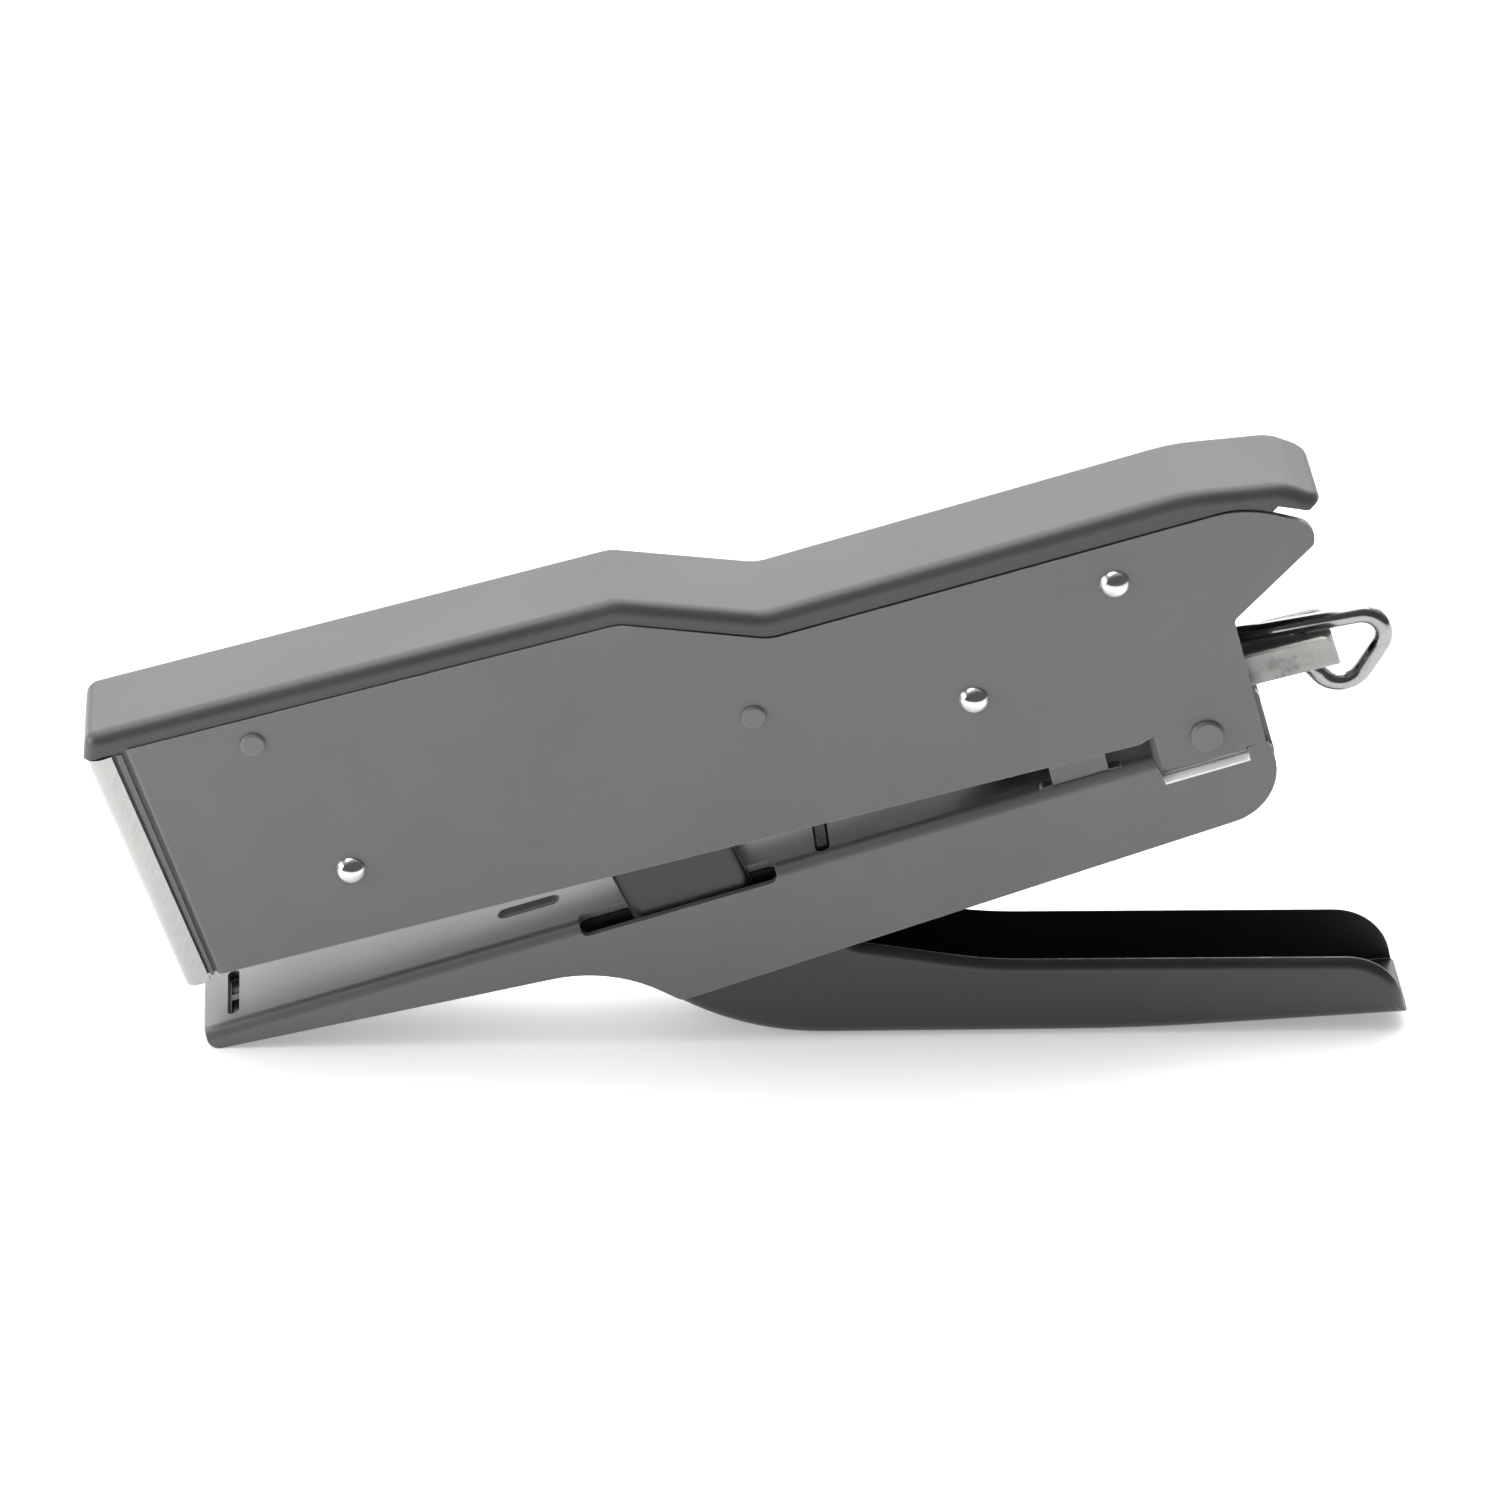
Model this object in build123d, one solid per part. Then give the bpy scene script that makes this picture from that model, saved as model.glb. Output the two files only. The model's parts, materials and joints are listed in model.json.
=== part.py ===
from build123d import *
import math
import os

# Long reach plier stapler, all metal, with a moulded grip cover. Millimetres.
# The origin is under the middle of the bounding box, +X runs from the staple end to the
# tail, +Y away from the side that is drawn, +Z up. It stands on the toe of its lower jaw
# and on the underside of its squeeze lever.
#
# Three part frames are used. Each lies in the XZ plane:
#   upper   along the magazine, from the jaw pivot
#   jaw     along the top of the lower jaw, from the jaw pivot
#   nose    along the driver, from the foot of the front plate

# ---------------------------------------------------------------- driving dimensions
PIVOT_X = 56.13          # jaw pivot
PIVOT_Z = 44.78
UPPER_TILT = 15.6        # the magazine rises towards the tail
JAW_TILT = 18.0          # the jaw hangs open by the difference
NOSE_LEAN = 4.5          # the driver leans back from square to the magazine

SHEET = 1.0              # side plates, jaw and lever
THIN = 0.8               # inner channels
HALF = 8.25              # half width over side plates, jaw and cover
HALF_IN = HALF - SHEET
FIT = 0.05               # radial clearance of the running pins

MAG_BOTTOM = 1.05        # upper frame, lower edge of the side plates
PLATE_TOP = 35.65
FRONT_FOOT = -129.5      # upper frame, front edge of the plates' main face
FRONT_HEAD = -131.6
NOSE_FOOT = (-134.05, 0.3)

JAW_WEB = -1.3           # jaw frame, top of the web
JAW_TOE = -133.7
JAW_BEND = 1.7

RIVET_A = (-109.0, 11.04)
RIVET_B = (-27.3, 13.04)
RIVET_C = (-6.6, 24.2)   # ram lever pivot
RIVET_D = (-115.8, 32.05)
RIVET_E = (-54.5, 18.5)
LINK = (-73.0, 21.5)     # lever pin in the ram lever's slot, jaw open
LINK_SHUT = (-79.78, 22.36)
FULCRUM = (-50.9, -6.2)  # jaw frame
PIN_R = 1.5

LEVER_HALF = 7.05
LEVER_BEND = 2.0
CHANNEL_HALF = 4.2       # feeder channel, inside the staples
MAG_HALF = 5.75
STAPLE_HALF = 4.75
RAIL_TOP = 7.2
CROWN_TOP = 7.95
RAM_HALF = 5.75

DRIVER_GAP = (3.35, 4.15)    # nose frame, the driver's two faces
LOOP_R = 1.2
STRIP_FRONT = -129.85
STRIP_BACK = -100.0
TAIL_END = 18.6

UPPER = Location((PIVOT_X, 0, PIVOT_Z), (0, -UPPER_TILT, 0))
JAW = Location((PIVOT_X, 0, PIVOT_Z), (0, -JAW_TILT, 0))
NOSE = UPPER * Location((NOSE_FOOT[0], 0, NOSE_FOOT[1]), (0, -NOSE_LEAN, 0))


# ---------------------------------------------------------------- helpers
def outline(points):
    """A closed face from (x, z, corner radius) points, drawn in the sketch plane."""
    corners = [(p[0], p[1]) for p in points]
    radii = [p[2] if len(p) > 2 else 0 for p in points]
    return make_face(FilletPolyline(*corners, radius=radii, close=True))


def slab(points, y0, y1):
    """The outline, standing in XZ and running from y0 to y1."""
    return Plane.XZ.offset(-y1) * extrude(outline(points), amount=y1 - y0)


def block(x0, x1, y0, y1, z0, z1):
    """A box between two corners."""
    centre = Pos((x0 + x1) / 2, (y0 + y1) / 2, (z0 + z1) / 2)
    return centre * Box(x1 - x0, y1 - y0, z1 - z0)


def rod(at, radius, y0, y1):
    """A round bar across the stapler."""
    return Pos(at[0], (y0 + y1) / 2, at[1]) * Rot(90, 0, 0) * Cylinder(radius, y1 - y0)


def both(make):
    """The near and the far copy of a piece, made for the far side."""
    far = make()
    return [mirror(far, about=Plane.XZ), far]


def at_xz(frame, point):
    """Where a point of a part frame lies in the stapler's frame."""
    here = (frame * Location((point[0], 0, point[1]))).position
    return (here.X, here.Z)


def edges_along_x(solid, z, half):
    """The two long edges at height z and at both sides."""
    found = []
    for edge in solid.edges().filter_by(Axis.X):
        middle = edge.center()
        if abs(middle.Z - z) < 0.01 and abs(abs(middle.Y) - half) < 0.01:
            found.append(edge)
    return found


def channel(length, half, wall, z_web, z_open, bend, opens_up):
    """A bent U channel from length[0] to length[1], with round bends at its web."""
    low, high = min(z_web, z_open), max(z_web, z_open)
    outer = block(length[0], length[1], -half, half, low, high)
    outer = fillet(edges_along_x(outer, z_web, half), bend)
    step = wall if opens_up else -wall
    past = 1.0 if opens_up else -1.0
    inside = sorted((z_web + step, z_open + past))
    inner = block(length[0] - 1, length[1] + 1, wall - half, half - wall, inside[0], inside[1])
    inner = fillet(edges_along_x(inner, z_web + step, half - wall), max(bend - wall, 0.2))
    return outer - inner


def dome_head(at, radius, height):
    """A round rivet head on the far side plate."""
    ball = (radius ** 2 + height ** 2) / (2 * height)
    sphere = Pos(at[0], HALF + height - ball, at[1]) * Sphere(ball)
    return sphere & rod(at, radius, HALF, HALF + height)


def low_head(at, radius, height):
    """A flat, painted rivet head with a soft edge."""
    head = rod(at, radius, HALF, HALF + height)
    rim = head.edges().filter_by(GeomType.CIRCLE).sort_by(Axis.Y)[-1]
    return fillet(rim, height * 0.7)


def rivet(at, shank, head):
    """A shank through both side plates with a head on each side."""
    body = rod(at, shank, -HALF, HALF)
    for piece in both(lambda: head(at)):
        body += piece
    return body


def coil(start, length, radius, wire, turns, along):
    """A helical spring: start point, length, mean radius and wire radius."""
    path = Helix(pitch=length / turns, height=length, radius=radius)
    section = Plane(path @ 0, z_dir=path % 0) * Circle(wire)
    spring = sweep(section, path=path, is_frenet=True)
    return Location(start) * along * spring


def put(frame, solid, name):
    """Place a part frame's piece and write it."""
    solids = solid if isinstance(solid, list) else [solid]
    placed = [frame * piece for piece in solids]
    shape = placed[0] if len(placed) == 1 else Compound(children=placed)
    export_step(shape, f"parts/{name}.step")


# ---------------------------------------------------------------- upper body
def side_plate():
    """The far side plate: main face, joggled front strip and joggled jaw guide tab."""
    tab = (-20.4, -13.1, -3.4)
    face = [
        (FRONT_FOOT, MAG_BOTTOM, 0), (FRONT_HEAD, PLATE_TOP, 0),
        (-67.5, PLATE_TOP + 0.1, 5), (-49.9, 28.6, 6), (11.3, 30.2, 14),
        (19.3, 25.6, 2.6), (18.7, 22.9, 1.2), (6.8, 15.1, 1.0), (7.05, -2.95, 0.3),
        (4.5, -2.95, 0), (4.3, -3.45, 0), (-6.45, -3.45, 0.8), (-6.45, 1.8, 0),
        (-8.5, MAG_BOTTOM, 0.6),
    ]
    plate = slab(face, HALF_IN, HALF)
    front = [e for e in plate.edges() if is_side_edge(e, HALF) and e.center().X < FRONT_FOOT]
    plate = fillet(front, 0.8)
    strip = [
        (FRONT_FOOT + 1.5, MAG_BOTTOM), (-131.6, MAG_BOTTOM), (-134.2, PLATE_TOP - 0.5),
        (FRONT_HEAD + 1.5, PLATE_TOP - 0.5),
    ]
    bead = [
        (FRONT_FOOT - 0.35, MAG_BOTTOM), (FRONT_FOOT - 0.8, MAG_BOTTOM),
        (FRONT_HEAD - 1.2, PLATE_TOP - 0.6), (FRONT_HEAD - 0.45, PLATE_TOP - 0.6),
    ]
    plate += slab(strip, HALF_IN - SHEET, HALF_IN)
    plate += slab(bead, HALF_IN - FIT, HALF_IN + 0.65)
    plate += slab([
        (tab[0], 2.4, 1.0), (tab[1], 2.4, 1.0), (tab[1], 0.2, 0), (tab[0], 0.2, 0)],
        HALF_IN - SHEET - 0.1, HALF_IN)
    plate += slab([
        (tab[0], 0.9, 0), (tab[1], 0.9, 0), (tab[1], tab[2], 0.3), (tab[0], tab[2], 0.3)],
        HALF_IN - SHEET - 0.1, HALF_IN - 0.1)
    for at, radius in ((RIVET_A, 1.2), (RIVET_B, 1.2), (RIVET_C, 1.5), (RIVET_D, 1.2),
                       (RIVET_E, 1.2), ((0, 0), PIN_R)):
        plate -= rod(at, radius, HALF - 2, HALF + 1)
    return plate


def front_plate():
    """The bright U plate that closes the nose, with round front corners."""
    depth, low, high, corner = 3.5, -0.2, 34.75, 2.4
    outer = block(0, depth, -HALF, HALF, low, high)
    fronts = outer.edges().filter_by(Axis.Z).sort_by(Axis.X)[:2]
    outer = fillet(fronts, corner)
    inner = block(SHEET, depth + 1, -HALF_IN, HALF_IN, low - 1, high + 1)
    hollow = inner.edges().filter_by(Axis.Z).sort_by(Axis.X)[:2]
    return outer - fillet(hollow, corner - SHEET)


def top_cover():
    """The moulded cap over the side plates, hollow underneath, with fixing tongues."""
    wall, half = 1.6, HALF - 0.2
    crown = [
        (-137.5, 20, 0), (-136.95, 35.3, 0), (-135.75, 38.45, 1.9), (-67.2, 38.7, 5),
        (-49.9, 31.9, 6), (4.5, 33.75, 25), (16.8, 31.65, 6), (20.7, 28.65, 0), (20.7, 20, 0),
    ]
    below = [
        (-140, 35.3, 0), (-131.4, 35.3, 0), (-131.0, PLATE_TOP + 0.05, 0),
        (-67.5, PLATE_TOP + 0.2, 5), (-49.9, 28.8, 6), (11.4, 30.4, 12), (14.5, 28.62, 0),
        (15.1, 29.35, 0.3), (19.0, 27.55, 0.5), (20.3, 28.0, 0), (30, 32, 0),
        (30, 10, 0), (-140, 10, 0),
    ]
    cap = slab(crown, -half, half)
    tail = [e for e in cap.edges().filter_by(Axis.Z) if e.center().X > 20]
    cap = fillet(tail, 2.4)
    rim = [e for e in cap.edges() if is_side_edge(e, half) and 26 < e.center().Z]
    cap = fillet(rim, 1.7) - slab(below, -HALF - 1, HALF + 1)
    cavity = [
        (-134.9, 30, 0), (-134.6, 36.7, 0.5), (-67.5, 36.9, 3), (-50.2, 30.2, 3),
        (5.5, 32.3, 20), (12.8, 29.6, 0), (12.8, 22, 0), (-50, 22, 0),
    ]
    cap -= slab(cavity, wall - half, half - wall)
    for foot in ((-121.0, -110.5, 30.0, 36.8), (2.0, 10.0, 27.5, 31.2)):
        tongue = block(foot[0], foot[1], 5.6, HALF_IN - 0.05, foot[2], foot[3])
        if foot[0] < -100:
            tongue -= rod(RIVET_D, 1.2, 5, HALF)
        cap += tongue
        cap += mirror(tongue, about=Plane.XZ)
    return cap


def is_side_edge(edge, half):
    """Whether an edge lies in one of the two side faces, half away from the middle."""
    flat = edge.bounding_box().size.Y < 0.01
    return flat and abs(abs(edge.center().Y) - half) < 0.01


def magazine():
    """The staple channel between the side plates, open towards the top."""
    tray = channel((-129.2, 6.0), MAG_HALF, 0.7, 1.6, 8.5, 1.0, True)
    return tray - rod((0, 0), PIN_R, -HALF, HALF)


def nose_guide(a0, a1, half, low, relief):
    """A guide plate across the nose, cut away from relief on for the ram lever's nose."""
    plate = block(a0, a1, -half, half, low, 31.0)
    gap = block(relief, a1 + 1, -2.4, 2.4, 17.9, 29.4)
    return plate - fillet(gap.edges().filter_by(Axis.X), 1.0)


def spacer(at, outer, bore):
    """A tube between the side plates round a rivet."""
    return rod(at, outer, -HALF_IN, HALF_IN) - rod(at, bore, -HALF, HALF)


def staple_strip():
    """A stick of staples over the feeder channel."""
    stick = block(STRIP_FRONT, STRIP_BACK, -STAPLE_HALF, STAPLE_HALF, 2.3, CROWN_TOP)
    stick = fillet(edges_along_x(stick, CROWN_TOP, STAPLE_HALF), 0.4)
    inside = STAPLE_HALF - 0.4
    return stick - block(STRIP_FRONT - 1, STRIP_BACK + 1, -inside, inside, 2, CROWN_TOP - 0.55)


def jaw_spring():
    """A bowed leaf between the magazine and the jaw that opens the jaw."""
    thick, top, low = 0.4, 1.6, -2.1
    bow = [
        (-8.0, top - thick, 0), (-8.0, top, 0), (-12.0, top, 3), (-26.0, low + thick, 12),
        (-40.0, top, 3), (-44.0, top, 0), (-44.0, top - thick, 0), (-40.3, top - thick, 3),
        (-26.0, low, 12), (-11.7, top - thick, 3),
    ]
    return slab(bow, -3.5, 3.5)


def ram_spring():
    """A torsion spring round the ram pivot bush that lifts the ram lever."""
    radius, wire = 2.75, 0.3
    turns = coil((0, 0, 0), 6.0, radius, wire, 6, Rot(90, 0, 0))
    return Pos(RIVET_C[0], 3.0, RIVET_C[1]) * turns


# ---------------------------------------------------------------- ram and driver
def ram_lever():
    """The inner lever from the rear rivet to the driver, with the link slot."""
    side = [
        (-1.8, 20.0, 3), (-1.8, 28.8, 3), (-48.0, 27.3, 8), (-62.0, 31.6, 4),
        (-84.0, 31.6, 6), (-118.0, 29.2, 8), (-132.8, 28.5, 0.4), (-132.75, 26.2, 0.4),
        (-112.0, 25.0, 8), (-97.0, 24.0, 8), (-86.0, 17.6, 3), (-61.2, 17.6, 2),
        (-57.2, 23.8, 3), (-34.0, 19.4, 10),
    ]
    lever = slab(side, -RAM_HALF, RAM_HALF)
    hollow = [
        (-0.8, 10, 0), (-0.8, 27.7, 2), (-48.2, 26.2, 8), (-62.3, 30.5, 4),
        (-83.7, 30.5, 6), (-117.8, 28.1, 8), (-121.0, 28.0, 0), (-121.0, 10, 0),
    ]
    inside = RAM_HALF - THIN
    lever -= slab(hollow, -inside, inside)
    for y0, y1 in ((1.9, 9), (-9, -1.9)):
        lever -= block(-140, -127.0, y0, y1, 20, 35)
    lever -= rod(RIVET_C, 2.2 + FIT, -HALF, HALF)
    run = (LINK_SHUT[0] - LINK[0], LINK_SHUT[1] - LINK[1])
    reach = math.hypot(*run)
    lean = math.degrees(math.atan2(-run[1], -run[0]))
    slot = SlotCenterToCenter(reach + 0.5, 2 * PIN_R + 0.3, rotation=lean)
    cutter = Plane.XZ.offset(-HALF) * extrude(slot, amount=2 * HALF)
    return lever - Pos(LINK[0] + run[0] / 2, 0, LINK[1] + run[1] / 2) * cutter


def driver():
    """The blade that pushes one staple out, with a window for the ram lever's nose."""
    blade = block(DRIVER_GAP[0], DRIVER_GAP[1], -STAPLE_HALF, STAPLE_HALF, 7.8, 30.6)
    window = block(DRIVER_GAP[0] - 1, DRIVER_GAP[1] + 1, -2.15, 2.15, 25.3, 28.3)
    return blade - window


# ---------------------------------------------------------------- feeder
def feeder_channel():
    """The pull-out rail that carries the staples, seen at the tail."""
    rail = channel((-129.0, TAIL_END), CHANNEL_HALF, THIN, 2.75, RAIL_TOP, 1.0, True)
    corner = [
        (TAIL_END + 2, 2.0, 0), (TAIL_END + 0.15, 2.0, 0), (TAIL_END - 0.6, RAIL_TOP, 1.4),
        (TAIL_END - 3, RAIL_TOP, 0), (TAIL_END - 3, RAIL_TOP + 1, 0),
        (TAIL_END + 2, RAIL_TOP + 1, 0),
    ]
    rail -= slab(corner, -HALF, HALF)
    hole = block(12.4, 16.3, -1.3, 1.3, 2, 4)
    return rail - fillet(hole.edges().filter_by(Axis.Z), 1.2)


def wire_loop():
    """The bright pull loop: a bent wire that springs into the rail's end."""
    path = FilletPolyline((-4.0, 9.1), (28.5, 6.7), (17.8, -4.35), (13.9, 4.0), radius=[3.0, 3.5])
    path = Plane.XZ * path
    section = Plane(path @ 0, z_dir=path % 0) * Circle(LOOP_R)
    return sweep(section, path=path)


def pusher():
    """The block behind the staples, straddling the rail and guided on the rod."""
    shell = block(STRIP_BACK + 0.05, STRIP_BACK + 8, -STAPLE_HALF, STAPLE_HALF, 2.8, 8.3)
    groove = CHANNEL_HALF + 0.15
    shell -= block(STRIP_BACK - 1, STRIP_BACK + 9, -groove, groove, 2, RAIL_TOP + 0.2)
    inside = CHANNEL_HALF - THIN - 0.2
    shell += block(STRIP_BACK + 0.05, STRIP_BACK + 8, -inside, inside, 3.8, RAIL_TOP + 0.3)
    bore = Pos(STRIP_BACK, 0, 5.3) * Rot(0, 90, 0) * Cylinder(0.8 + FIT, 30)
    return shell - bore


# ---------------------------------------------------------------- lower jaw
def jaw():
    """The lower jaw: a U channel with slots for the lever and ears inside the plates."""
    side = [
        (JAW_TOE, JAW_WEB, 0), (JAW_TOE, -3.95, 1.6), (-81.5, -8.5, 20),
        (-74.2, -16.2, 1.4), (7.5, -13.0, 7.5), (7.45, -4.4, 0),
        (7.1, -3.25, 0.3), (4.6, -3.25, 0.2), (4.3, -4.4, 0), (-6.75, -4.4, 0),
        (-7.4, JAW_WEB, 0),
    ]
    body = slab(side, -HALF, HALF)
    body = fillet(edges_along_x(body, JAW_WEB, HALF), JAW_BEND)
    toe = [edge for edge in body.edges().filter_by(Axis.Z) if edge.center().X < JAW_TOE + 1]
    body = fillet(toe, 1.2) if toe else body
    hollow = block(-140, 12, -HALF_IN, HALF_IN, -20, JAW_WEB - SHEET)
    body -= fillet(edges_along_x(hollow, JAW_WEB - SHEET, HALF_IN), JAW_BEND - SHEET)
    ear = [(-6.6, -7.0, 0.5), (-6.6, 3.2, 3), (-1.5, 5.2, 3), (7.75, 5.0, 2.6), (7.6, -7.0, 2)]
    shoulder = [(-6.7, -5.4), (-6.7, -4.4), (7.3, -4.4), (7.3, -5.4)]
    for make in (lambda: slab(ear, 6.15, 7.15), lambda: slab(shoulder, 6.15, 7.6)):
        for piece in both(make):
            body += piece
    body -= rod((0, 0), PIN_R + FIT, -HALF, HALF)
    for piece in both(ledge_cutter):
        body -= piece
    for piece in both(lambda: side_slot(-83.5, -57.4, HALF + 1)):
        body -= piece
    for piece in both(lambda: side_slot(-22.3, -11.5, HALF_IN + FIT)):
        body -= piece
    body -= web_slot(-50.9, 1.9, 14.0)
    body -= web_slot(-89.9, 8.3, 2.4)
    body -= web_slot(-129.8, 1.6, 10.6)
    return body


def ledge_cutter():
    """Takes the outer corner off the jaw wall's edge beside the pivot, at 45 degrees."""
    bar = Rot(45, 0, 0) * Box(10.95, 0.9, 0.9)
    return Pos(-1.2, HALF, -4.4) * bar


def side_slot(start, end, outer):
    """A cutter beside the far wall of the jaw, from the web down past the bend."""
    low = -3.2
    cut = block(start, end, 5.5, outer, low, 1)
    corners = [e for e in cut.edges().filter_by(Axis.Z) if e.center().Y < 6]
    feet = [e for e in cut.edges().filter_by(Axis.Y) if e.center().Z < low + 0.1]
    return fillet(corners + feet, 1.0)


def web_slot(at, length, width):
    """A cutter with round corners through the jaw's web."""
    cut = block(at - length / 2, at + length / 2, -width / 2, width / 2, -4, 1)
    return fillet(cut.edges().filter_by(Axis.Z), min(length, width) * 0.45)


def anvil():
    """The clinch plate in the toe's window, with two curved staple grooves."""
    top = JAW_WEB - 0.8
    plate = block(-131.9, -127.3, -6.4, 6.4, -3.5, JAW_WEB - SHEET)
    lug = block(-130.55, -129.05, -5.2, 5.2, -3.0, top)
    plate += fillet(lug.edges().filter_by(Axis.Z), 0.65)
    for side in (-1, 1):
        plate -= Pos(-129.8, side * 2.45, top + 2.3) * Rot(0, 90, 0) * Cylinder(2.9, 1.0)
    return plate


def fulcrum_bracket():
    """The bearer under the jaw's web, staked through its cross slot."""
    reach, x, z = 5.85, FULCRUM[0], FULCRUM[1]
    side = [
        (-85.0, JAW_WEB - SHEET, 0), (x + 5, JAW_WEB - SHEET, 0), (x + 3.2, z - 3.2, 2.6),
        (x - 3.2, z - 3.2, 2.6), (x - 7.5, -7.0, 1.5), (-84.2, -7.0, 1.0),
    ]
    saddle = slab(side, -reach, reach)
    saddle -= block(-90, x + 9, 1.2 - reach, reach - 1.2, z - 9, JAW_WEB - SHEET - 1.2)
    saddle += block(x - 0.65, x + 0.65, -6.2, 6.2, JAW_WEB - SHEET - 0.5, JAW_WEB + 0.25)
    return saddle - rod(FULCRUM, PIN_R, -HALF, HALF)


# ---------------------------------------------------------------- squeeze lever
def lever():
    """The squeeze lever, drawn as it stands: a channel with two long ears."""
    fx, fz = at_xz(JAW, FULCRUM)
    px, pz = at_xz(UPPER, LINK)
    tip = 85.27
    side = [
        (-0.7, 0, 37), (50, 0, 300), (tip, 2.2, 0), (tip - 2.2, 11.0, 8.4),
        (30, 11.2, 60), (11.0, 14.4, 2.2), (fx + 3.4, fz + 3.2, 2.4),
        (fx - 3.2, fz + 1.6, 1.0), (0.6, 21.0, 1.5), (px + 5.6, pz + 4.6, 5.5),
        (px - 11.5, pz + 3.4, 5.5), (-10.1, 5.45, 2.2),
    ]
    arm = slab(side, -LEVER_HALF, LEVER_HALF)
    sides = [e for e in arm.edges() if is_side_edge(e, LEVER_HALF)]
    keel = [e for e in sides if e.center().Z < 6 and e.center().X < 84]
    arm = fillet(keel, LEVER_BEND)
    inside = LEVER_HALF - SHEET
    hollow = [
        (-0.45, SHEET, 36), (50, SHEET, 300), (tip + 2, 3.4, 0), (tip + 2, 60, 0),
        (-60, 60, 0), (-60, 36, 0),
    ]
    trough = slab(hollow, -inside, inside)
    arm -= trough
    arm -= rod((fx, fz), PIN_R + FIT, -HALF, HALF)
    return arm - rod((px, pz), PIN_R, -HALF, HALF)


# ---------------------------------------------------------------- write the parts
os.makedirs("parts", exist_ok=True)

near_plate, far_plate = both(side_plate)
put(UPPER, near_plate, "side_plate_near")
put(UPPER, far_plate, "side_plate_far")
put(UPPER, top_cover(), "top_cover")
put(NOSE, front_plate(), "front_plate")
put(NOSE, nose_guide(SHEET, 3.2, 5.8, 0.8, 2.4), "nose_guide_front")
put(NOSE, nose_guide(4.35, 5.35, HALF_IN - SHEET, 9.2, 4.0), "nose_guide_rear")
put(UPPER, magazine(), "magazine")
put(UPPER, staple_strip(), "staple_strip")
put(UPPER, [spacer(RIVET_A, 2.0, 1.2), spacer(RIVET_B, 2.0, 1.2)], "spacer_tubes")
put(UPPER, rod(RIVET_C, 2.2, -HALF_IN, HALF_IN) - rod(RIVET_C, 1.5, -HALF, HALF), "ram_bush")
put(UPPER, jaw_spring(), "jaw_spring")
put(UPPER, ram_spring(), "ram_spring")
chrome = [(RIVET_A, 1.2), (RIVET_B, 1.2), (RIVET_C, 1.5)]
put(UPPER, [rivet(at, shank, lambda p: dome_head(p, 2.0, 1.35)) for at, shank in chrome],
    "dome_rivets")
put(UPPER, [rivet(at, 1.2, lambda p: low_head(p, 1.6, 0.5)) for at in (RIVET_D, RIVET_E)],
    "flat_rivets")
put(UPPER, rivet((0, 0), PIN_R, lambda p: low_head(p, 2.15, 0.6)), "jaw_pivot_rivet")

put(UPPER, ram_lever(), "ram_lever")
put(NOSE, driver(), "driver_blade")

put(UPPER, feeder_channel(), "feeder_channel")
put(UPPER, wire_loop(), "wire_loop")
guide_rod = Pos(-63.0, 0, 5.3) * Rot(0, 90, 0) * Cylinder(0.8, 132)
put(UPPER, guide_rod, "follower_rod")
anchor = block(-3.0, 5.0, -3.1, 3.1, 2.75 + THIN, 8.3)
anchor -= Pos(0, 0, 5.3) * Rot(0, 90, 0) * Cylinder(0.8, 40)
put(UPPER, anchor - wire_loop(), "rod_anchor")
put(UPPER, coil((STRIP_BACK + 8.4, 0, 5.3), 88.3, 1.25, 0.2, 40, Rot(0, 90, 0)), "pusher_spring")
put(UPPER, pusher(), "pusher")

put(JAW, jaw(), "jaw")
put(JAW, anvil(), "anvil")
put(JAW, fulcrum_bracket(), "fulcrum_bracket")
put(JAW, rod(FULCRUM, PIN_R, 0.1 - HALF_IN, HALF_IN - 0.1), "fulcrum_pin")

put(Location(), lever(), "squeeze_lever")
link_at = at_xz(UPPER, LINK)
put(Location(), rod(link_at, PIN_R, -LEVER_HALF, LEVER_HALF), "link_pin")
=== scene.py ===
import json
import math

import bpy
from mathutils import Matrix, Vector


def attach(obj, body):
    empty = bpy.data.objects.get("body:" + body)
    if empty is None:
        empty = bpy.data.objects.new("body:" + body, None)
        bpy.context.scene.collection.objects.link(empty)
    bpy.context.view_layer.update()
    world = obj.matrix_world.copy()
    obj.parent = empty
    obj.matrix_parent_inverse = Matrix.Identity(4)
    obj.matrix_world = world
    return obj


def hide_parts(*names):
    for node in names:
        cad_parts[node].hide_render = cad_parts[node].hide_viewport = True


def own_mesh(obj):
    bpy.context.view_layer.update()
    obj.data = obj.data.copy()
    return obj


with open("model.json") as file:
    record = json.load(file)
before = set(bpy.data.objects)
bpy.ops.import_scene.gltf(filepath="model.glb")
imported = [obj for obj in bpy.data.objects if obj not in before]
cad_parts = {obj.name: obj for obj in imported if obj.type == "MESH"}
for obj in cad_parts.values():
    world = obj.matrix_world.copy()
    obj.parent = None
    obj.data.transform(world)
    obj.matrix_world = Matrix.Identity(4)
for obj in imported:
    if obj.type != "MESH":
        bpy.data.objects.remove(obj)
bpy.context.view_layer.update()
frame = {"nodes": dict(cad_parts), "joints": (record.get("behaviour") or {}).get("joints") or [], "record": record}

MM = 0.001
WHITE = (1, 1, 1, 1)

# The upper body's own axes, read off the joints: its first axis rises towards the tail from the
# jaw's pivot, and its second one stands square to that.
JOINTS = {joint["name"]: joint for joint in frame["joints"]}
PIVOT_X, _, PIVOT_Z = JOINTS["jaw_hinge"]["pos_m"]
SLOPE_COS, _, SLOPE_SIN = JOINTS["feeder_slide"]["axis"]

# Turns about Y in degrees that lay X along a body. One that rises towards the tail is negative.
UPPER_TURN = -math.degrees(math.atan2(SLOPE_SIN, SLOPE_COS))
JAW_TURN = -18.0
# The plating's drawing lines. The front plate itself leans by as much the other way.
PLATING_TURN = 20.1

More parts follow.
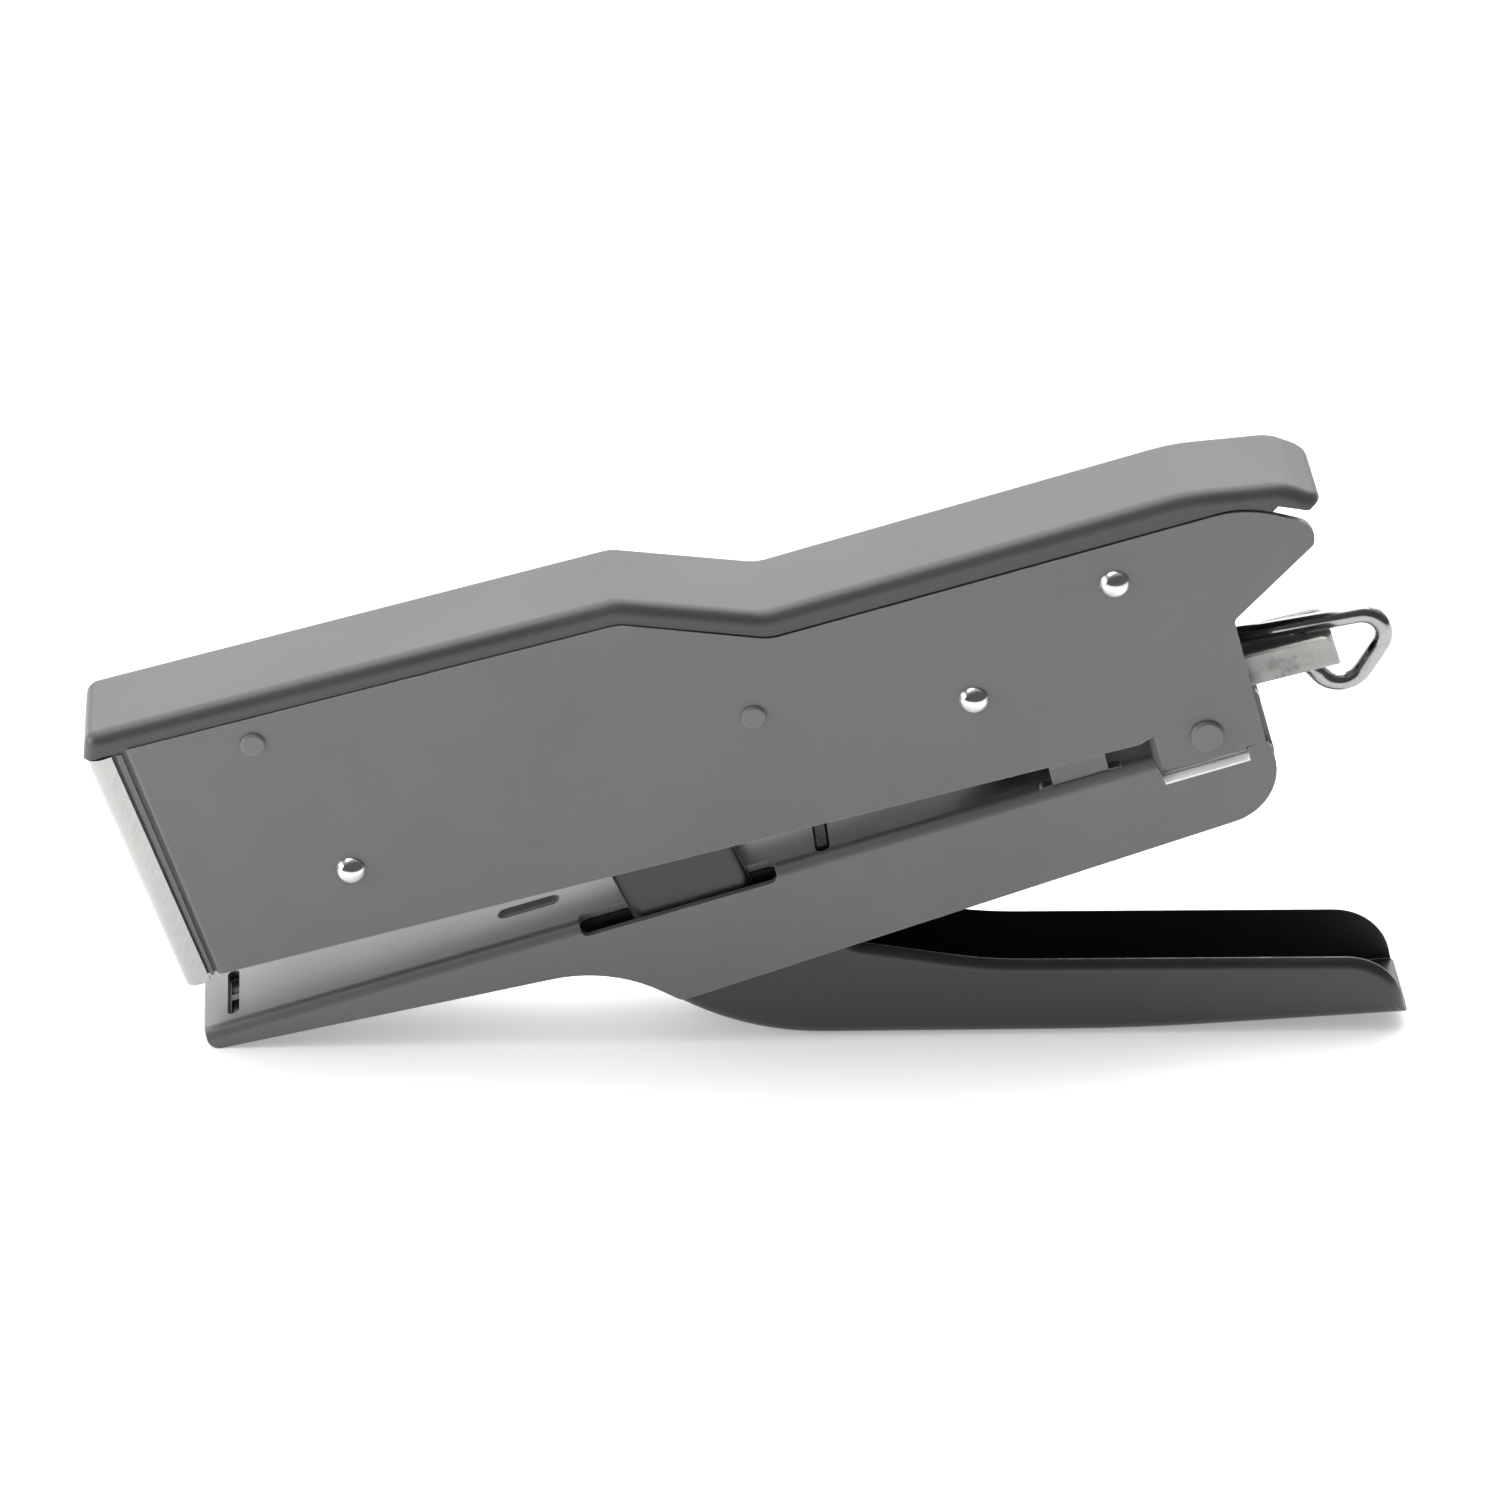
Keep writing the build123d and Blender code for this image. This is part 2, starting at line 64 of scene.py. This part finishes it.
# Boxes that are coloured by place: the jaw's chamfered ledge below its pivot, painted white as a
# painted highlight, and the bearer under the jaw and the anvil in the toe, darkened as painted shade.
LEDGE_HIGHLIGHT_BOX = {"centre": (56.45 * MM, 0, 39.92 * MM), "half": (5.5 * MM, None, 0.45 * MM), "turn": JAW_TURN}
BEARER_SHADE_BOX = {"centre": (-3.83 * MM, 0, 18.99 * MM), "half": (21 * MM, None, 4.9 * MM), "turn": JAW_TURN}
ANVIL_SHADE_BOX = {"centre": (-66.63 * MM, 0, 2.58 * MM), "half": (3 * MM, None, 2 * MM), "turn": JAW_TURN}

# ---------------------------------------------------------------- material building blocks


class Finish:
    """A Principled material that is built up from procedural layers."""

    BEVEL_SAMPLES = 6
    FLAT_COSINE = 0.995
    EDGE_COSINE = 0.86

    def __init__(self, name):
        self.material = bpy.data.materials.new(name)
        self.material.use_nodes = True
        self.tree = self.material.node_tree
        self.shader = self.tree.nodes["Principled BSDF"]
        self.place = self.tree.nodes.new("ShaderNodeTexCoord").outputs["Object"]
        self.last_normal = None

    def node(self, kind, **settings):
        made = self.tree.nodes.new(kind)
        for key, value in settings.items():
            setattr(made, key, value)
        return made

    def link(self, source, target):
        self.tree.links.new(source, target)

    def put(self, socket, value):
        """Sets a socket, or links it if value is an output."""
        if isinstance(value, bpy.types.NodeSocket):
            self.link(value, socket)
        else:
            socket.default_value = value

    def mapped(self, scale=(1, 1, 1), turn=0.0, shift=(0, 0, 0)):
        """Object coordinates, turned about Y by degrees and stretched."""
        made = self.node("ShaderNodeMapping", vector_type="TEXTURE")
        self.link(self.place, made.inputs["Vector"])
        made.inputs["Rotation"].default_value = (0, math.radians(turn), 0)
        made.inputs["Scale"].default_value = scale
        made.inputs["Location"].default_value = shift
        return made.outputs[0]

    def noise(self, size, detail, rough=0.5, where=None):
        """Noise whose blobs are about size metres across."""
        made = self.node("ShaderNodeTexNoise")
        self.link(where or self.place, made.inputs["Vector"])
        made.inputs["Scale"].default_value = 1.0 / size
        made.inputs["Detail"].default_value = detail
        made.inputs["Roughness"].default_value = rough
        return made.outputs["Fac"]

    def span(self, value, low, high, to_low=0.0, to_high=1.0):
        """Maps low..high of a value smoothly to another range."""
        made = self.node("ShaderNodeMapRange", interpolation_type="SMOOTHSTEP")
        self.put(made.inputs["Value"], value)
        made.inputs["From Min"].default_value = low
        made.inputs["From Max"].default_value = high
        made.inputs["To Min"].default_value = to_low
        made.inputs["To Max"].default_value = to_high
        return made.outputs["Result"]

    def product(self, a, b):
        made = self.node("ShaderNodeMath", operation="MULTIPLY")
        self.put(made.inputs[0], a)
        self.put(made.inputs[1], b)
        return made.outputs[0]

    def mix(self, amount, a, b):
        """A colour between a and b."""
        made = self.node("ShaderNodeMix", data_type="RGBA")
        factor, first, second = made.inputs[0], made.inputs[6], made.inputs[7]
        self.put(factor, amount)
        self.put(first, a)
        self.put(second, b)
        return made.outputs[2]

    def inside(self, centre, half, turn, soft=0.15 * MM):
        """1 within a box about centre, turned about Y, fading out over soft metres.

        An axis whose half size is None isn't limited.
        """
        parts = self.node("ShaderNodeSeparateXYZ")
        self.link(self.mapped(turn=turn, shift=centre), parts.inputs[0])
        mask = None
        for axis, reach in enumerate(half):
            if reach is None:
                continue
            away = self.node("ShaderNodeMath", operation="ABSOLUTE")
            self.link(parts.outputs[axis], away.inputs[0])
            near = self.span(away.outputs[0], reach, reach + soft, to_low=1.0, to_high=0.0)
            mask = near if mask is None else self.product(mask, near)
        return mask

    def edge(self, width):
        """1 on convex and concave edges within width metres, 0 on flats."""
        bevel = self.node("ShaderNodeBevel", samples=self.BEVEL_SAMPLES)
        bevel.inputs["Radius"].default_value = width
        plain = self.node("ShaderNodeNewGeometry")
        dot = self.node("ShaderNodeVectorMath", operation="DOT_PRODUCT")
        self.link(bevel.outputs[0], dot.inputs[0])
        self.link(plain.outputs["Normal"], dot.inputs[1])
        return self.span(dot.outputs["Value"], self.FLAT_COSINE, self.EDGE_COSINE)

    def bump(self, height, depth):
        """Adds relief, depth metres high."""
        made = self.node("ShaderNodeBump")
        made.inputs["Distance"].default_value = depth
        made.inputs["Strength"].default_value = 1.0
        self.link(height, made.inputs["Height"])
        if self.last_normal is not None:
            self.link(self.last_normal, made.inputs["Normal"])
        self.last_normal = made.outputs[0]
        self.link(self.last_normal, self.shader.inputs["Normal"])

    def soft_edges(self, width):
        """Rounds the shading of sharp sheet edges."""
        made = self.node("ShaderNodeBevel", samples=self.BEVEL_SAMPLES)
        made.inputs["Radius"].default_value = width
        self.last_normal = made.outputs[0]
        self.link(self.last_normal, self.shader.inputs["Normal"])


def grey(value, tint=(0.0, 0.0)):
    """A linear grey from an sRGB value from 0 to 255, with more or less red and blue."""
    share = value / 255
    linear = share / 12.92 if share <= 0.04045 else ((share + 0.055) / 1.055) ** 2.4
    return (linear * (1 + tint[0]), linear, linear * (1 + tint[1]), 1)


# ---------------------------------------------------------------- materials

ENAMEL_TINT = (0.015, 0.075)
NICKEL_TINT = (0.015, -0.02)
ZINC_TINT = (0.02, -0.03)
# The tone of painted shade on metal in shadowed pockets.
PAINTED_SHADE_TONE = 52


def paint(name, tone, rough, edge_wear_and_highlight_tone, edge_wear_and_highlight=0.75, painted_highlight=None):
    """Sprayed enamel on pressed steel: orange peel, faint blotches, dust, and lighter edges that are part rubbed
    paint, part painted highlight.

    tone and the edge tone are sRGB values, and the edge share is how far an edge shows the edge tone, partly as
    rubbed paint and partly as a painted highlight along the edge.
    The highlight box, as inside() takes it, marks where the ledge is painted pure white as a painted highlight.
    """
    f = Finish(name)
    f.soft_edges(width=0.12 * MM)
    blotch = f.noise(size=22 * MM, detail=4, rough=0.55)
    grain = f.noise(size=0.9 * MM, detail=3, rough=0.6)
    dust = f.noise(size=0.45 * MM, detail=2)
    chips = f.noise(size=2.2 * MM, detail=4, rough=0.7)
    peel = f.noise(size=1.6 * MM, detail=2)

    dark, light = grey(tone - 4, ENAMEL_TINT), grey(tone + 3, ENAMEL_TINT)
    colour = f.mix(f.span(blotch, low=0.3, high=0.7), dark, light)
    specks = f.span(dust, low=0.70, high=0.78, to_high=0.45)
    colour = f.mix(specks, colour, grey(tone + 26, ENAMEL_TINT))
    # Edges lighten towards the edge tone: partly rubbed paint, partly a painted highlight along the sheet edges.
    worn_and_highlit_edges = f.span(chips, low=0.35, high=0.62, to_low=edge_wear_and_highlight * 0.4, to_high=edge_wear_and_highlight)
    worn_and_highlit_edges = f.product(f.edge(width=0.22 * MM), worn_and_highlit_edges)
    colour = f.mix(worn_and_highlit_edges, colour, grey(edge_wear_and_highlight_tone, ENAMEL_TINT))
    # Painted highlight: the ledge below the jaw's pivot is painted pure white where its edge catches the light.
    if painted_highlight:
        colour = f.mix(f.inside(**painted_highlight), colour, WHITE)
    f.link(colour, f.shader.inputs["Base Color"])

    gloss = f.span(blotch, low=0.25, high=0.75, to_low=rough - 0.05, to_high=rough + 0.07)
    f.link(gloss, f.shader.inputs["Roughness"])
    f.shader.inputs["Specular IOR Level"].default_value = 0.45
    f.shader.inputs["Coat Weight"].default_value = 0.40
    f.shader.inputs["Coat Roughness"].default_value = 0.24
    f.bump(peel, depth=0.008 * MM)
    f.bump(grain, depth=0.006 * MM)
    return f.material


def metal(
    name, tone, rough, line, grain=(1, 1, 1), turn=0.0, tint=(0.0, 0.0), stain=0.0,
    depth=0.002 * MM, painted_shade=None,
):
    """Bare or plated steel with drawing lines along one direction and a few stains.

    line is the drawing lines' width in metres, grain their stretch along each axis once turned
    about Y, and depth their relief. stain is how strong the stains are, from 0 to 1. The shade box,
    as inside() takes it, is where the metal is darkened as painted shade.
    """
    f = Finish(name)
    f.soft_edges(width=0.10 * MM)
    streak = f.noise(size=line, detail=4, rough=0.7, where=f.mapped(scale=grain, turn=turn))
    cloud = f.noise(size=5 * MM, detail=6, rough=0.65)

    dark, light, stained = grey(tone - 7, tint), grey(tone + 6, tint), grey(tone * 0.6, tint)
    colour = f.mix(f.span(streak, low=0.3, high=0.7), dark, light)
    colour = f.mix(f.span(cloud, low=0.50, high=0.70, to_high=stain), colour, stained)
    # Painted shade: the metal within the box is darkened where it lies in shadow.
    if painted_shade:
        colour = f.mix(f.inside(**painted_shade), colour, grey(PAINTED_SHADE_TONE, tint))
    f.link(colour, f.shader.inputs["Base Color"])

    gloss = f.span(cloud, low=0.25, high=0.75, to_low=rough - 0.05, to_high=rough + 0.10)
    f.link(gloss, f.shader.inputs["Roughness"])
    f.shader.inputs["Metallic"].default_value = 1.0
    f.bump(streak, depth)
    return f.material


def cover_finish():
    """Dark satin moulding with a fine spark texture and a little dust."""
    f = Finish("cover_moulding")
    f.soft_edges(width=0.15 * MM)
    blotch = f.noise(size=30 * MM, detail=4)
    dust = f.noise(size=0.5 * MM, detail=2)
    spark = f.noise(size=0.6 * MM, detail=2)

    colour = f.mix(f.span(blotch, low=0.3, high=0.7), grey(63), grey(69))
    colour = f.mix(f.span(dust, low=0.70, high=0.78, to_high=0.12), colour, grey(140))
    f.link(colour, f.shader.inputs["Base Color"])
    gloss = f.span(blotch, low=0.25, high=0.75, to_low=0.36, to_high=0.46)
    f.link(gloss, f.shader.inputs["Roughness"])
    f.shader.inputs["Specular IOR Level"].default_value = 0.5
    f.bump(spark, depth=0.010 * MM)
    return f.material


loop_chrome = metal("wire_chrome", tone=152, rough=0.13, line=0.8 * MM, depth=0.0003 * MM)

FINISHES = {
    # The body enamel carries painted edge highlights and the painted highlight on the jaw's ledge.
    "frame_paint": paint("body_enamel", tone=97, rough=0.40, edge_wear_and_highlight_tone=157, painted_highlight=LEDGE_HIGHLIGHT_BOX),
    "cover_shell": cover_finish(),
    # The lever's light rims are mostly painted highlight along its edges.
    "lever_paint": paint("lever_enamel", tone=33, rough=0.38, edge_wear_and_highlight_tone=190, edge_wear_and_highlight=1.0),
    "rivet_paint": paint("rivet_enamel", tone=105, rough=0.38, edge_wear_and_highlight_tone=165),
    "nickel_plate": metal(
        "nickel_plate", tone=163, rough=0.22, line=0.12 * MM, grain=(1, 1, 60),
        turn=PLATING_TURN, tint=NICKEL_TINT, depth=0.0006 * MM),
    "chrome_trim": metal(
        "polished_chrome", tone=205, rough=0.11, line=0.8 * MM, depth=0.0003 * MM),
    # The bearer under the jaw is darkened as painted shade.
    "rolled_steel": metal(
        "zinc_sheet", tone=163, rough=0.58, line=0.2 * MM, grain=(5, 1, 1), turn=UPPER_TURN,
        tint=ZINC_TINT, stain=0.6, depth=0.0015 * MM, painted_shade=BEARER_SHADE_BOX),
    # The anvil in the toe is darkened as painted shade.
    "spring_steel": metal(
        "ground_steel", tone=170, rough=0.28, line=0.15 * MM, grain=(30, 1, 1), turn=UPPER_TURN,
        painted_shade=ANVIL_SHADE_BOX),
    "staple_wire": metal(
        "staple_wire", tone=200, rough=0.30, line=0.4 * MM, grain=(1, 6, 1), depth=0.003 * MM),
}
for part in frame["record"]["subparts"]:
    node = frame["nodes"][part["node"]]
    for slot in node.material_slots:
        slot.material = FINISHES[part["material_slot"]]

# ---------------------------------------------------------------- the pull loop, drawn smoothly

WIRE_CORNERS = [(-4.0, 9.1), (28.5, 6.7), (17.8, -4.35), (13.9, 4.0)]
WIRE_BENDS = [3.0, 3.5]
WIRE_RADIUS = 1.195
WIRE_SIDES = 28
ARC_STEPS = 26


def in_upper(along, across, sideways=0.0):
    """The place in metres of a point given in millimetres along the upper body's own axes."""
    return (
        PIVOT_X + (along * SLOPE_COS - across * SLOPE_SIN) * MM,
        sideways * MM,
        PIVOT_Z + (along * SLOPE_SIN + across * SLOPE_COS) * MM,
    )


def rotated(vector, angle):
    """A flat vector turned anticlockwise by radians."""
    c, s = math.cos(angle), math.sin(angle)
    return Vector((vector.x * c - vector.y * s, vector.x * s + vector.y * c))


def bent_path(corners, radii):
    """Points along straight runs joined by tangent arcs, each with its direction."""
    spots = [Vector(corner) for corner in corners]
    path = [(spots[0], (spots[1] - spots[0]).normalized())]
    for index, radius in enumerate(radii, start=1):
        before, at, after = spots[index - 1:index + 2]
        into, out = (at - before).normalized(), (after - at).normalized()
        turn = math.atan2(into.x * out.y - into.y * out.x, into.dot(out))
        start = at - into * radius * math.tan(abs(turn) / 2)
        centre = start + Vector((-into.y, into.x)) * math.copysign(radius, turn)
        for step in range(ARC_STEPS + 1):
            angle = turn * step / ARC_STEPS
            path.append((centre + rotated(start - centre, angle), rotated(into, angle)))
    path.append((spots[-1], (spots[-1] - spots[-2]).normalized()))
    return path


def add_pull_loop():
    """A round wire with a smooth surface along the feeder's loop."""
    rings = bent_path(WIRE_CORNERS, WIRE_BENDS)
    verts, faces = [], []
    for spot, along in rings:
        normal = Vector((-along.y, along.x))
        for side in range(WIRE_SIDES):
            angle = 2 * math.pi * side / WIRE_SIDES
            flat = spot + normal * WIRE_RADIUS * math.cos(angle)
            verts.append(in_upper(flat.x, flat.y, WIRE_RADIUS * math.sin(angle)))
    for start in range(0, len(verts) - WIRE_SIDES, WIRE_SIDES):
        for side in range(WIRE_SIDES):
            a, b = start + side, start + (side + 1) % WIRE_SIDES
            faces.append((a, b, b + WIRE_SIDES, a + WIRE_SIDES))
    faces.append(tuple(reversed(range(WIRE_SIDES))))
    faces.append(tuple(range(len(verts) - WIRE_SIDES, len(verts))))
    mesh = bpy.data.meshes.new("pull_loop")
    mesh.from_pydata(verts, [], faces)
    for face in mesh.polygons:
        face.use_smooth = len(face.vertices) == 4
    mesh.materials.append(loop_chrome)
    loop = bpy.data.objects.new("pull_loop", mesh)
    bpy.context.collection.objects.link(loop)
    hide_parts("wire_loop")
    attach(loop, "feeder")


add_pull_loop()

# ---------------------------------------------------------------- springs as pieces of their own


def add_spring(name, body):
    """The spring's own shape, copied into a piece of its own that rides with body.
    """
    node = frame["nodes"][name]
    spring = bpy.data.objects.new(name + "_wire", node.data.copy())
    spring.matrix_world = node.matrix_world.copy()
    bpy.context.collection.objects.link(spring)
    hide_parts(name)
    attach(spring, body)
    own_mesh(spring)


add_spring(
    "pusher_spring", "feeder")
add_spring(
    "jaw_spring", "upper")

# ---------------------------------------------------------------- floor, light and camera

FLOOR_REACH = 6.0
FLOOR_GREY = 0.93
FLOOR_GLOW = 0.33


def add_floor():
    """A near-white floor that gives off light of its own, so that it stays pale all round."""
    mesh = bpy.data.meshes.new("floor")
    low, high = -FLOOR_REACH, FLOOR_REACH
    corners = [(low, low, 0), (high, low, 0), (high, high, 0), (low, high, 0)]
    mesh.from_pydata(corners, [], [(0, 1, 2, 3)])
    floor = bpy.data.objects.new("floor", mesh)
    bpy.context.collection.objects.link(floor)
    f = Finish("floor_paper")
    f.shader.inputs["Base Color"].default_value = (FLOOR_GREY, FLOOR_GREY, FLOOR_GREY, 1)
    f.shader.inputs["Emission Color"].default_value = WHITE
    f.shader.inputs["Emission Strength"].default_value = FLOOR_GLOW
    f.shader.inputs["Roughness"].default_value = 0.9
    f.shader.inputs["Specular IOR Level"].default_value = 0.1
    mesh.materials.append(f.material)


def add_softbox(name, place, aim, size, watts):
    """A rectangular area light at place, pointing at aim, in metres."""
    data = bpy.data.lights.new(name, "AREA")
    data.shape = "RECTANGLE"
    data.size, data.size_y = size
    data.energy = watts
    lamp = bpy.data.objects.new(name, data)
    bpy.context.collection.objects.link(lamp)
    lamp.location = place
    lamp.rotation_euler = (Vector(aim) - Vector(place)).to_track_quat("-Z", "Y").to_euler()


def add_camera(azimuth, elevation, roll, distance, target, lens, sensor):
    """A camera that looks at target, with angles in degrees and its lens in millimetres.

    Azimuth 0 looks along +Y, and a negative one stands further towards -X.
    """
    azimuth, elevation, roll = (math.radians(angle) for angle in (azimuth, elevation, roll))
    back = Vector((
        math.sin(azimuth) * math.cos(elevation),
        -math.cos(azimuth) * math.cos(elevation),
        math.sin(elevation),
    ))
    right = Vector((math.cos(azimuth), math.sin(azimuth), 0))
    up = back.cross(right)
    right, up = (
        right * math.cos(roll) + up * math.sin(roll),
        up * math.cos(roll) - right * math.sin(roll),
    )
    data = bpy.data.cameras.new("camera")
    data.lens, data.sensor_width = lens, sensor
    data.clip_start, data.clip_end = 0.05, 20.0
    camera = bpy.data.objects.new("camera", data)
    bpy.context.collection.objects.link(camera)
    place = Vector(target) + back * distance
    turned = Matrix((right, up, back)).transposed().to_4x4()
    camera.matrix_world = Matrix.Translation(place) @ turned
    bpy.context.scene.camera = camera


def set_world(towards, dim, bright):
    """A studio that is bright in the direction towards and dim the other way."""
    world = bpy.data.worlds.new("studio")
    world.use_nodes = True
    tree = world.node_tree
    place = tree.nodes.new("ShaderNodeTexCoord")
    dot = tree.nodes.new("ShaderNodeVectorMath")
    dot.operation = "DOT_PRODUCT"
    dot.inputs[1].default_value = towards
    tree.links.new(place.outputs["Generated"], dot.inputs[0])
    ramp = tree.nodes.new("ShaderNodeMapRange")
    ramp.interpolation_type = "SMOOTHSTEP"
    ramp.inputs["From Min"].default_value = 0.02
    ramp.inputs["From Max"].default_value = 0.62
    ramp.inputs["To Min"].default_value = dim
    ramp.inputs["To Max"].default_value = bright
    tree.links.new(dot.outputs["Value"], ramp.inputs["Value"])
    tree.nodes["Background"].inputs["Color"].default_value = WHITE
    tree.links.new(ramp.outputs["Result"], tree.nodes["Background"].inputs["Strength"])
    bpy.context.scene.world = world


add_floor()
set_world(towards=(-0.25, 0.80, 0.54), dim=0.14, bright=0.92)
add_softbox("overhead", place=(-0.10, 0.25, 0.95), aim=(0, 0, 0.03), size=(1.3, 0.7), watts=9.0)
add_softbox("backdrop", place=(0.0, 0.95, 0.62), aim=(0, 0, 0.04), size=(1.8, 0.9), watts=12.0)
add_softbox("side", place=(-1.10, -0.10, 0.35), aim=(0, 0, 0.03), size=(0.8, 0.5), watts=8.0)
add_camera(
    azimuth=-4.5, elevation=29, roll=1.75, distance=0.850,
    target=(-1.03 * MM, 0, 38.60 * MM), lens=160.35, sensor=36.0)
bpy.context.scene.view_settings.view_transform = "Standard"
